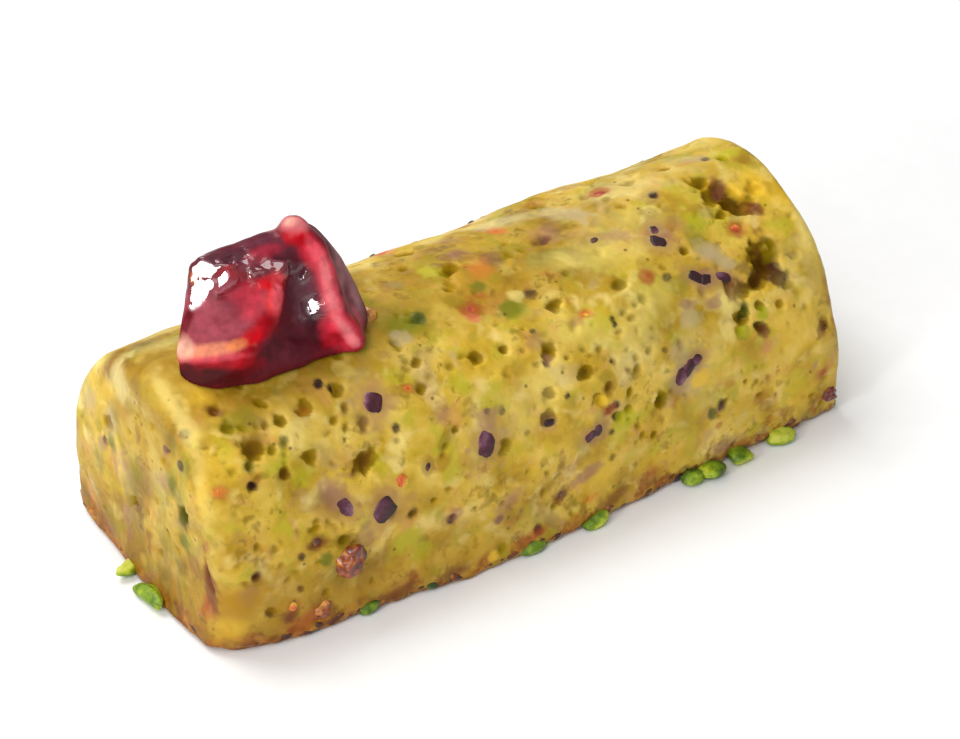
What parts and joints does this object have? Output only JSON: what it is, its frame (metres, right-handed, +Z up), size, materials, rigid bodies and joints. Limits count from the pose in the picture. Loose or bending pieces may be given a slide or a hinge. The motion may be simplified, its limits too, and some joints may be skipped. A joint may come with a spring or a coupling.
{
  "type": "pistachio raspberry yule log",
  "caption": "Small baked pistachio loaf in the form of a yule log, with chopped nuts round its foot and a folded piece of glazed raspberry on its crest.",
  "frame": {"origin": "middle of the flat base, on the surface that the loaf stands on", "axes": "+X along the loaf, away from the fruit piece towards the far end; -Y is the front side that the picture shows; +Z up"},
  "size_m": [0.1038, 0.0464, 0.0482],
  "materials": {
    "crumb": "moist, fine-pored yellow-green baked crumb with dark fruit bits and chopped nuts",
    "glazed_fruit": "wet, glossy, translucent dark red fruit with pink edges"
  },
  "bodies": {
    "root": {"cake_body": "crumb", "raspberry_topping": "glazed_fruit"}
  },
  "joints": []
}
